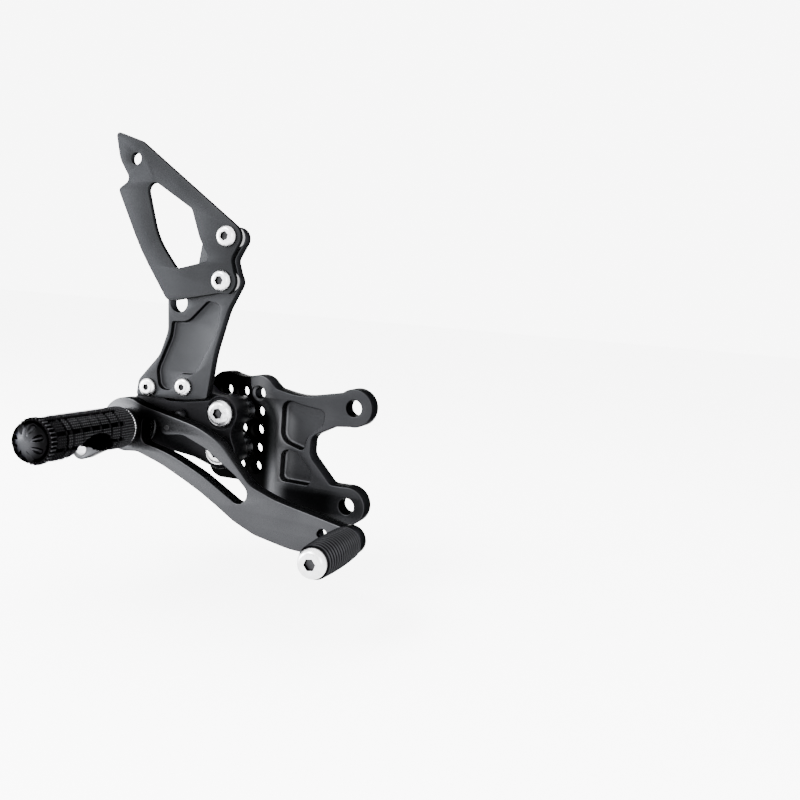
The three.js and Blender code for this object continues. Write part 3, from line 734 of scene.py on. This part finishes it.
carrier_obj = plate(
    "peg_carrier_body", carrier_outline, CARRIER_BACK, CARRIER_FRONT, [], counterbores, 0.5, carrier_black,
)
ears_outline = outline(
    arc(REAR_SCREW, 6.3, 195, 60),
    corner(-42.5, -1.5, 6),
    arc(FRONT_SCREW, 6.3, 130, 50),
    corner(-18, -0.8, 5),
    arc(BOLTS["upper"], LOBE_R - 0.05, 105, 80),
    corner(-12, -12),
    corner(-58, -14),
)
ears_obj = plate("carrier_ears", ears_outline, CARRIER_BACK - 0.05, EAR_FRONT, bevel=0.3, material=carrier_black)
stand_for(carrier_obj, ROOT, "black_anodised", "peg_carrier")
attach(ears_obj, ROOT)

for place, centre in BOLTS.items():
    node = f"spacer_{place}"
    obj = tube(node + "_body", centre, radius_of(node), 4.3, inner_of(node), outer_of(node), spacer_black)
    stand_for(obj, ROOT, "black_anodised", node)
    node = f"carrier_bolt_{place}"
    tip = inner_of(node)
    obj = button_screw(node + "_body", centre, 7, 4.4, 5, CARRIER_FRONT + 0.8, bolt_steel, 14, (3.3, tip))
    stand_for(obj, ROOT, "steel", node)

# ---------------------------------------------------------------- heel bracket
GUARD_UPPER = axis_of("guard_screw_upper")
GUARD_LOWER = axis_of("guard_screw_lower")
bracket_outline = outline(
    corner(-61, -6, 1.5),
    corner(-60, 2.6, 6),
    corner(-47.5, 17, 14),
    corner(-43, 30, 14),
    arc((-37.1, 44.9), 6.8, 175, 80),
    corner(-29, 52, 8),
    corner(-26.6, 66, 20),
    corner(-24.4, 80, 6),
    arc(GUARD_UPPER, 5.7, 120, -35),
    corner(-5.4, 68.6, 4),
    arc(GUARD_LOWER, 5.7, 38, -25),
    corner(-8.6, 43, 30),
    corner(-15, 20, 60),
    corner(-18, -3.2, 1.5),
    corner(-31, -5.4, 30),
)
bracket_pocket = outline(
    corner(-40.8, 35, 1.5),
    corner(-31.5, 35.6, 8),
    corner(-20, 47.2, 3),
    corner(-12.3, 45.5, 2.8),
    corner(-14.2, 31, 20),
    corner(-25.8, 8.5, 5),
    corner(-35.6, 8.2, 4),
    corner(-39.4, -1, 4),
    corner(-47.2, -1.2, 4.5),
    corner(-49.2, 9, 10),
    corner(-41.6, 27, 20),
)
BRACKET_FRONT = outer_of("heel_bracket")
bracket_obj = plate(
    "heel_bracket_body", bracket_outline, EAR_FRONT, BRACKET_FRONT,
    [circle((-37.1, 44.9), 4.9)], [(bracket_pocket, 3.3, 0.7)], 0.4, bracket_black,
)
stand_for(bracket_obj, ROOT, "black_anodised", "heel_bracket")
for place, turn in (("rear", 12), ("front", 20)):
    node = f"bracket_screw_{place}"
    obj = button_screw(node + "_body", axis_of(node), 4.75, 2.6, 3, BRACKET_FRONT, screw_steel, turn,
                       (2.5, inner_of(node)))
    stand_for(obj, ROOT, "steel", node)

# ---------------------------------------------------------------- heel guard
guard_outline = outline(
    corner(-74.2, 129.8, 1.8),
    corner(-58.5, 125, 8),
    arc(GUARD_UPPER, 7.2, 55, -30),
    corner(-3.4, 68.8, 5),
    arc(GUARD_LOWER, 7.3, 35, -60),
    corner(-9.6, 51.3, 10),
    corner(-38.6, 45.2, 5),
    corner(-56.2, 70.3, 120),
    corner(-71.4, 100.6, 2.2),
    corner(-64.2, 105.4, 3.2),
    corner(-71, 115.6, 14),
)
guard_window = outline(
    corner(-55.9, 108.8, 4),
    corner(-26.9, 92.1, 3.4),
    corner(-21.6, 77.8, 20),
    corner(-14.8, 67.3, 2.6),
    corner(-34.4, 62, 2.6),
    corner(-46.6, 76.8, 40),
)
guard_obj = plate(
    "heel_guard_body", guard_outline, inner_of("heel_guard"), outer_of("heel_guard"),
    [guard_window, circle((-61.1, 116), 3)], bevel=0.3, material=guard_black,
)
stand_for(guard_obj, ROOT, "black_anodised", "heel_guard")
for place, centre, turn in (("upper", GUARD_UPPER, 18), ("lower", GUARD_LOWER, 5)):
    node = f"guard_spacer_{place}"
    obj = tube(node + "_body", centre, radius_of(node), 3.2, inner_of(node), outer_of(node), spacer_steel)
    stand_for(obj, ROOT, "steel", node)
    node = f"guard_screw_{place}"
    obj = button_screw(node + "_body", centre, 5.25, 3.3, 4, outer_of("heel_guard"), screw_steel, turn,
                       (2.95, inner_of(node)))
    stand_for(obj, ROOT, "steel", node)

# ---------------------------------------------------------------- fixed peg
RING_FRONT = outer_of("hub_ring")
collar_obj = tube("hub_collar_body", PEG, radius_of("hub_collar"), 7.1, inner_of("hub_collar"),
                  outer_of("hub_collar"), carrier_black, 0.2)
stand_for(collar_obj, ROOT, "black_anodised", "hub_collar")
ring_obj = tube("hub_ring_body", PEG, radius_of("hub_ring"), 7.1, inner_of("hub_ring"), RING_FRONT, ring_steel, 0.35)
stand_for(ring_obj, ROOT, "steel", "hub_ring")
sleeve_obj = tube("spring_sleeve_body", PEG, 9, 7.1, inner_of("spring_sleeve"), outer_of("spring_sleeve"), ring_steel)
stand_for(sleeve_obj, ROOT, "steel", "spring_sleeve")

GRIP_R = 11.0
GRIP_END = outer_of("peg_grip")
SLEEVE_END = outer_of("grip_end_sleeve")
CAP_TIP = outer_of("grip_end_cap")
FINE_END = RING_FRONT - 8.5
SCALLOP_R = 17.9
SCALLOP_DEPTH = 7.9
SCALLOP_TILT = math.radians(25)
SCALLOP_Y = -71.5
GROOVE_PITCH = 6.8
TOOTH_PITCH = 1.4
TEETH = 48


def smooth_step(low, high, value):
    t = max(0.0, min(1.0, (value - low) / (high - low)))
    return t * t * (3 - 2 * t)


def knurl(angle, along, pitch):
    """0 in the valleys and 1 on the points of pyramids, TEETH of them round the grip."""
    across = 0.5 + 0.5 * math.cos(angle * TEETH)
    return (0.5 - 0.5 * math.cos(2 * math.pi * along / pitch)) * (0.35 + 0.65 * across)


def row_channel(angle):
    """1 in the smooth channels between the eight rows of teeth."""
    row = abs(((math.degrees(angle) + 22.5) / 45) % 1 - 0.5) * 45
    return smooth_step(15.0, 17.5, row)


def grip_radius(angle, y):
    along = RING_FRONT - y
    if y > FINE_END:
        r = 10.05 + 0.9 * knurl(angle, along, 1.05)
        r -= 1.0 * (1 - smooth_step(0, 0.9, along)) ** 2
    else:
        into = FINE_END - y
        crest = 10.0 + 1.0 * knurl(angle, into, TOOTH_PITCH)
        r = crest + (9.6 - crest) * row_channel(angle)
        groove = abs((into / GROOVE_PITCH) % 1 - 0.5) * GROOVE_PITCH
        r -= 0.7 * (1 - smooth_step(0.25, 0.7, groove))
        r -= 1.2 * smooth_step(GRIP_END + 1.0, GRIP_END, y)
    reach = SCALLOP_R ** 2 - (y - SCALLOP_Y) ** 2
    down = math.sin(angle - SCALLOP_TILT)
    if down < -0.05 and reach > 0:
        floor = -GRIP_R - SCALLOP_R + SCALLOP_DEPTH + math.sqrt(reach)
        if floor < 0:
            r = min(r, floor / down)
    return r


def steps(start, end, count):
    return [start + (end - start) * i / count for i in range(count + 1)]


grip_obj = round_surface("peg_grip_body", PEG, grip_radius, steps(RING_FRONT, GRIP_END, 330), 384, grip_black, 80)
stand_for(grip_obj, ROOT, "black_anodised", "peg_grip", "peg_spindle")


def sleeve_radius(angle, y):
    along = GRIP_END - 0.2 - y
    total = GRIP_END - 0.2 - SLEEVE_END
    if along < 0.55 * total:
        r = 9.8 + 0.9 * knurl(angle, along, TOOTH_PITCH) * (1 - row_channel(angle))
        return r - 0.9 * smooth_step(0.7, 0.0, along)
    if along < 0.62 * total:
        return 9.7
    r = 10.2 + 0.8 * (0.5 - 0.5 * math.cos(angle * 32))
    r -= 0.8 * smooth_step(0.62 * total + 0.7, 0.62 * total, along)
    return r - 0.7 * smooth_step(total - 0.7, total, along)


end_sleeve_obj = round_surface(
    "grip_end_sleeve_body", PEG, sleeve_radius, steps(GRIP_END - 0.2, SLEEVE_END, 90), 352, grip_black, 70)
stand_for(end_sleeve_obj, ROOT, "black_anodised", "grip_end_sleeve")

# End cap: a dome with eight teardrop scoops and a fine rim.
CAP_R = 9.6
CAP_STEPS = 40
CAP_COUNT = 288
DOME_Y = SLEEVE_END - 1.0


def scoop_depth(angle, rho):
    """Teardrop scoops, each wide at the rim and pointed towards the centre."""
    turn = (math.degrees(angle) / 45) % 1 - 0.5
    aside = turn * math.radians(45) * rho
    span = smooth_step(3.6, 6.6, rho) * smooth_step(9.4, 8.0, rho)
    width = 0.5 + 1.15 * smooth_step(3.6, 7.6, rho)
    return 2.0 * span * max(0.0, 1 - (aside / width) ** 2)


bm = bmesh.new()
rows = [[bm.verts.new(at(PEG[0], CAP_TIP, PEG[1]))]]
for i in range(1, CAP_STEPS + 1):
    t = math.pi / 2 * i / CAP_STEPS
    rho = CAP_R * math.sin(t) ** 0.9
    height = CAP_TIP + (DOME_Y - CAP_TIP) * (1 - math.cos(t) ** 0.9)
    row = []
    for k in range(CAP_COUNT):
        a = 2 * math.pi * k / CAP_COUNT
        y = height + scoop_depth(a, rho)
        row.append(bm.verts.new(at(PEG[0] + rho * math.cos(a), y, PEG[1] + rho * math.sin(a))))
    rows.append(row)
rows.append(ring(bm, circle(PEG, CAP_R, CAP_COUNT), SLEEVE_END - 0.05))
for k in range(CAP_COUNT):
    bm.faces.new((rows[0][0], rows[1][k], rows[1][(k + 1) % CAP_COUNT]))
for lower, upper in zip(rows[1:], rows[2:]):
    bridge(bm, lower, upper)
cap(bm, [rows[-1]])
cap_obj = finish_mesh("grip_end_cap_body", bm, cap_black, 50)
stand_for(cap_obj, ROOT, "machined_black", "grip_end_cap")

# ---------------------------------------------------------------- brake lever
EYE = axis_of("pushrod_bush")
STOP_PIN = axis_of("lever_stop_pin")
HUB = (-59.0, -20.4)
lever_outline = outline(
    arc(HUB, 14.3, 175, 60),
    corner(-46, -9.7, 10),
    corner(-15, -16.4, 60),
    corner(-3, -22.6, 30),
    corner(16, -42.2, 14),
    corner(30.4, -47.4, 60),
    arc(TOE, 7.4, 108, -108),
    corner(44, -71.4, 60),
    corner(20, -66.6, 20),
    corner(8, -61.4, 20),
    corner(-12, -49, 200),
    corner(-36, -38.3, 60),
    corner(-51, -33.6, 10),
    arc(HUB, 13.9, -80, -115),
    corner(-72, -35.4, 6),
    arc(EYE, 5.8, -60, -245),
)
lever_slot = outline(
    corner(-48.6, -15.4, 3),
    corner(-39.4, -16.2, 2.5),
    arc(STOP_PIN, 3.7, 175, 285),
    corner(-24, -21.4, 10),
    corner(-10.2, -26.7, 30),
    corner(8, -38.4, 20),
    arc((9.6, -47), 5.2, 38, -110),
    corner(0, -47.4, 30),
    corner(-12, -40.5, 60),
    corner(-32, -31.9, 80),
    corner(-48.6, -28.6, 4),
)
LEVER_FRONT = outer_of("brake_lever")
lever_obj = plate(
    "brake_lever_body", lever_outline, inner_of("brake_lever"), LEVER_FRONT,
    [lever_slot, circle(EYE, 4.05), circle((57, -60), 2.5)], bevel=0.5, material=lever_black,
)
stand_for(lever_obj, LEVER, "machined_black", "brake_lever")
bush_obj = tube("pushrod_bush_body", EYE, 4, 3.2, inner_of("pushrod_bush"), outer_of("pushrod_bush"), bush_steel, 0.2)
stand_for(bush_obj, LEVER, "steel", "pushrod_bush")
for node in ("lever_stop_pin", "spring_pin"):
    r = radius_of(node)
    front, back = outer_of(node), inner_of(node)
    profile = [(0, front), (r - 0.25, front), (r, front + 0.25), (r, back - 0.25), (r - 0.25, back), (0, back)]
    stand_for(lathe(node + "_body", axis_of(node), profile, dark_steel, 40), LEVER, "black_oxide", node)

# ---------------------------------------------------------------- toe peg
TOE_END = outer_of("toe_peg_sleeve")


def toe_radius(angle, y):
    along = TOE_BASE - y
    total = TOE_BASE - TOE_END
    share = along / total
    ribs = 0.5 - 0.5 * math.cos(2 * math.pi * along / TOE_PITCH)
    r = 7.0 + 0.75 * math.sin(math.pi * min(1.0, share * 0.9 + 0.08)) + 0.9 * ribs ** 0.8
    r -= 0.6 * smooth_step(0.8, 0.0, along)
    return r - 0.5 * smooth_step(total - 0.8, total, along)


toe_obj = round_surface("toe_peg_sleeve_body", TOE, toe_radius, steps(TOE_BASE, TOE_END, 260), 144, toe_black, 80)
stand_for(toe_obj, LEVER, "black_anodised", "toe_peg_sleeve")
toe_screw_obj = button_screw("toe_peg_screw_body", TOE, 7, 4, 5, TOE_END, screw_steel, 10,
                             (4, inner_of("toe_peg_screw")))
stand_for(toe_screw_obj, LEVER, "steel", "toe_peg_screw")

# ---------------------------------------------------------------- return spring
SPRING_PIN = axis_of("spring_pin")
SPRING_WIRE_R = 0.8
SPRING_COIL_R = 10.6
SPRING_TANG = (PEG[0] - 10.5, PEG[1] - 2.15)
COIL_START = 75
COIL_TURN = 1.3 * 360
COIL_STEPS = 104
LEG_STEPS = 12
LEG_Y = inner_of("brake_lever") + 1.3
COIL_END_Y = CARRIER_FRONT - 1.3


def wire(name, path, r, material, sides=14):
    """Round wire swept along a list of points."""
    bm = bmesh.new()
    up = Vector((0, 1, 0))
    rings = []
    for i, point in enumerate(path):
        ahead = (path[min(i + 1, len(path) - 1)] - path[max(i - 1, 0)]).normalized()
        side = up.cross(ahead).normalized()
        up = ahead.cross(side).normalized()
        row = []
        for k in range(sides):
            a = 2 * math.pi * k / sides
            place = point + side * (r * math.cos(a)) + up * (r * math.sin(a))
            row.append(bm.verts.new(at(*place)))
        rings.append(row)
    for lower, upper in zip(rings, rings[1:]):
        bridge(bm, lower, upper)
    cap(bm, [rings[0]])
    cap(bm, [rings[-1]])
    return finish_mesh(name, bm, material, 50)


coil = []
for i in range(COIL_STEPS + 1):
    share = i / COIL_STEPS
    a = math.radians(COIL_START + share * COIL_TURN)
    y = LEG_Y + (COIL_END_Y - LEG_Y) * share
    coil.append(Vector((PEG[0] + SPRING_COIL_R * math.cos(a), y, PEG[1] + SPRING_COIL_R * math.sin(a))))
leg_tip = Vector((SPRING_PIN[0] + 1.5, LEG_Y, SPRING_PIN[1] - 2.6))
leg = [leg_tip.lerp(coil[0], i / LEG_STEPS) for i in range(LEG_STEPS)]
tang = Vector((SPRING_TANG[0], COIL_END_Y, SPRING_TANG[1]))
end = [coil[-1].lerp(tang, 0.6) + Vector((0, 0.3, 0)), tang + Vector((0, 1, 0)), tang + Vector((0, 3.4, 0))]
spring_obj = wire("return_spring_body", leg + coil + end, SPRING_WIRE_R, dark_steel)
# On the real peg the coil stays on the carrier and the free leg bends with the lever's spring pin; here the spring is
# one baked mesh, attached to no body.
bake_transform(spring_obj)
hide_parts("return_spring")

# ---------------------------------------------------------------- small pieces shown as packed
for nodes, material in (
    (("spindle_washer", "spindle_bolt", "grip_set_screw"), screw_steel),
    (("pivot_bush_outer", "pivot_bush_inner"), bearing_bronze),
    (("stop_eccentric", "stop_screw"), carrier_black),
):
    for node in nodes:
        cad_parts[node].data.materials.clear()
        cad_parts[node].data.materials.append(material)

# ---------------------------------------------------------------- floor, lights and camera
floor_material, tree, bsdf = node_tree("pale_floor")
place = tree.nodes.new("ShaderNodeTexCoord").outputs["Object"]
cloud = noise(tree, place, 3.0, 2.0)
tree.links.new(mix_colour(tree, cloud, (0.90, 0.90, 0.90), (0.93, 0.93, 0.93)), bsdf.inputs["Base Color"])
bsdf.inputs["Roughness"].default_value = 0.9
bsdf.inputs["Specular IOR Level"].default_value = 0.1
# The pressed lever reaches 28 mm lower than at rest and must stay above the floor.
bpy.ops.mesh.primitive_plane_add(size=12, location=(0, 0, rest_low.z - 0.034))
floor = bpy.context.object
floor.name = "floor"
floor.data.materials.append(floor_material)

world = bpy.data.worlds.new("studio")
world.use_nodes = True
world.node_tree.nodes["Background"].inputs["Color"].default_value = (1.0, 1.0, 1.0, 1)
world.node_tree.nodes["Background"].inputs["Strength"].default_value = 8.0
bpy.context.scene.world = world


def softbox(name, location, target, size, power):
    light = bpy.data.lights.new(name, "AREA")
    light.shape = "RECTANGLE"
    light.size, light.size_y = size
    light.energy = power
    obj = bpy.data.objects.new(name, light)
    obj.location = location
    aim = Vector(target) - Vector(location)
    obj.rotation_euler = aim.to_track_quat("-Z", "Y").to_euler()
    bpy.context.scene.collection.objects.link(obj)
    return obj


middle = (rest_low + rest_high) / 2
softbox("key", (-0.5, -0.9, 0.9), middle, (0.6, 0.6), 45)
softbox("side", (-0.85, -0.55, 0.0), middle, (0.5, 0.8), 55)
softbox("fill", (0.9, -0.8, 0.4), middle, (0.8, 0.8), 20)

camera_data = bpy.data.cameras.new("camera")
camera_data.lens = 37.8
camera_data.sensor_width = 36
camera_data.clip_start = 0.01
camera = bpy.data.objects.new("camera", camera_data)
camera.location = (0.19517, -0.40599, 0.08083)
camera.rotation_euler = Euler([math.radians(a) for a in (83.477, -4.491, 19.595)], "XYZ")
bpy.context.scene.collection.objects.link(camera)
bpy.context.scene.camera = camera
